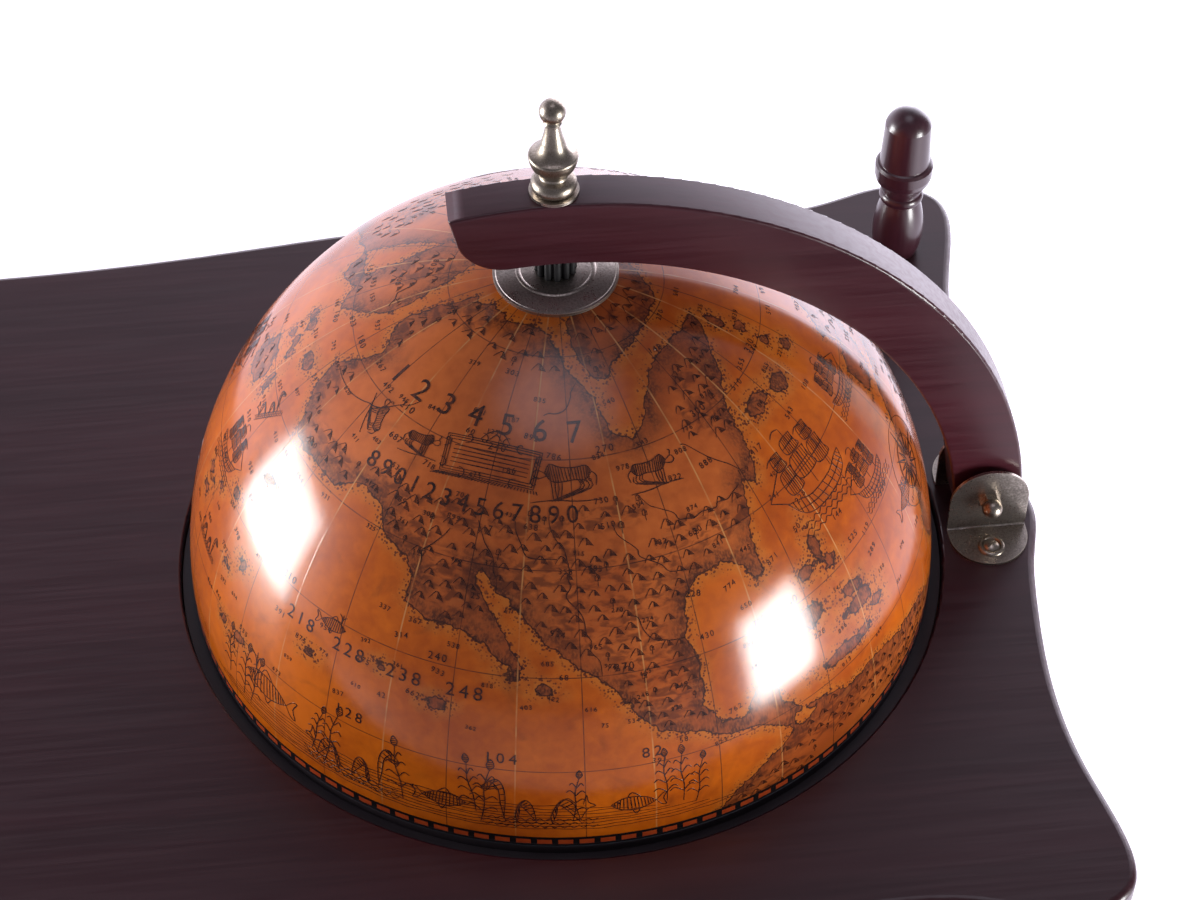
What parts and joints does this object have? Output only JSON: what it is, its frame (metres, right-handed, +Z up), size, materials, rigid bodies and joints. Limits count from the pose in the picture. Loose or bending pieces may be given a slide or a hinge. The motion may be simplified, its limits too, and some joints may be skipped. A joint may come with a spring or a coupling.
{
  "type": "globe bar side table",
  "caption": "Side table on castors with a half-globe bar: the old-map lid spins under a wooden arm with a brass finial and swings up on a hinge over a rack for bottles and glasses.",
  "frame": {"origin": "on the floor, under the middle of the table top", "axes": "+Z up, +X along the table towards the lid's hinge, +Y to the back, where the corner posts stand"},
  "size_m": [0.8994, 0.532, 0.9296],
  "materials": {
    "table_wood": "dark cherry stain, satin lacquer",
    "arm_wood": "dark mahogany stain, satin lacquer",
    "turned_wood": "dark cherry stain, satin lacquer",
    "hidden_wood": "plain sawn wood",
    "black_wood": "black paint, satin",
    "rack_wood": "mahogany veneer, satin lacquer",
    "globe_map": "printed paper gores on a pressed fibre shell, high gloss varnish",
    "antique_brass": "antiqued, bright on worn edges",
    "black_plastic": "moulded, satin",
    "steel": "zinc plated",
    "castor_tyre": "moulded black wheel, matt"
  },
  "bodies": {
    "table": {"table_top": "table_wood", "support_ring": "hidden_wood", "rim_ring": "black_wood", "lower_bowl": "globe_map", "rack_disc": "rack_wood", "rack_cleats": "hidden_wood", "bottle_floor": "rack_wood", "hinge_ear_front": "antique_brass", "hinge_ear_back": "antique_brass", "pivot_pin": "steel", "pin_cap_nuts": "antique_brass", "foot_cup_washers": "antique_brass", "foot_screws": "antique_brass", "lower_shelf": "table_wood", "top_studs": "steel", "shelf_studs": "steel", "corner_post_1": "turned_wood", "corner_post_2": "turned_wood", "leg_1": "turned_wood", "leg_2": "turned_wood", "leg_3": "turned_wood", "leg_4": "turned_wood", "foot_1": "turned_wood", "foot_2": "turned_wood", "foot_3": "turned_wood", "foot_4": "turned_wood", "castor_stem_1": "steel", "castor_stem_2": "steel", "castor_stem_3": "steel", "castor_stem_4": "steel"},
    "arm": {"meridian_arm": "arm_wood", "arm_bush": "antique_brass", "pole_rod": "steel", "thrust_washer": "steel", "lock_nut": "steel", "finial_washer": "antique_brass", "finial": "antique_brass"},
    "lid": {"lid_shell": "globe_map", "lid_pole_block": "hidden_wood", "pole_disc": "antique_brass", "pole_bush": "black_plastic"},
    "castor_1": {"castor_fork_1": "antique_brass", "castor_axle_1": "steel"},
    "wheel_1": {"castor_wheel_1": "castor_tyre"},
    "castor_2": {"castor_fork_2": "antique_brass", "castor_axle_2": "steel"},
    "wheel_2": {"castor_wheel_2": "castor_tyre"},
    "castor_3": {"castor_fork_3": "antique_brass", "castor_axle_3": "steel"},
    "wheel_3": {"castor_wheel_3": "castor_tyre"},
    "castor_4": {"castor_fork_4": "antique_brass", "castor_axle_4": "steel"},
    "wheel_4": {"castor_wheel_4": "castor_tyre"}
  },
  "joints": [
    {"name": "arm_lift", "type": "hinge", "parent": "table", "child": "arm", "pos_m": [0.41964, 0, 0.643], "axis": [0, 1, 0], "range_deg": [0, 90]},
    {"name": "lid_spin", "type": "hinge", "parent": "arm", "child": "lid", "pos_m": [0.188, 0, 0.823], "axis": [0, 0, 1], "continuous": true},
    {"name": "castor_swivel_1", "type": "hinge", "parent": "table", "child": "castor_1", "pos_m": [0.4115, 0.21, 0.055], "axis": [0, 0, 1], "continuous": true},
    {"name": "wheel_spin_1", "type": "hinge", "parent": "castor_1", "child": "wheel_1", "pos_m": [0.3975, 0.21, 0.024], "axis": [0, 1, 0], "continuous": true},
    {"name": "castor_swivel_2", "type": "hinge", "parent": "table", "child": "castor_2", "pos_m": [0.4115, -0.21, 0.055], "axis": [0, 0, 1], "continuous": true},
    {"name": "wheel_spin_2", "type": "hinge", "parent": "castor_2", "child": "wheel_2", "pos_m": [0.3975, -0.21, 0.024], "axis": [0, 1, 0], "continuous": true},
    {"name": "castor_swivel_3", "type": "hinge", "parent": "table", "child": "castor_3", "pos_m": [-0.4115, 0.21, 0.055], "axis": [0, 0, 1], "continuous": true},
    {"name": "wheel_spin_3", "type": "hinge", "parent": "castor_3", "child": "wheel_3", "pos_m": [-0.4255, 0.21, 0.024], "axis": [0, 1, 0], "continuous": true},
    {"name": "castor_swivel_4", "type": "hinge", "parent": "table", "child": "castor_4", "pos_m": [-0.4115, -0.21, 0.055], "axis": [0, 0, 1], "continuous": true},
    {"name": "wheel_spin_4", "type": "hinge", "parent": "castor_4", "child": "wheel_4", "pos_m": [-0.4255, -0.21, 0.024], "axis": [0, 1, 0], "continuous": true}
  ]
}
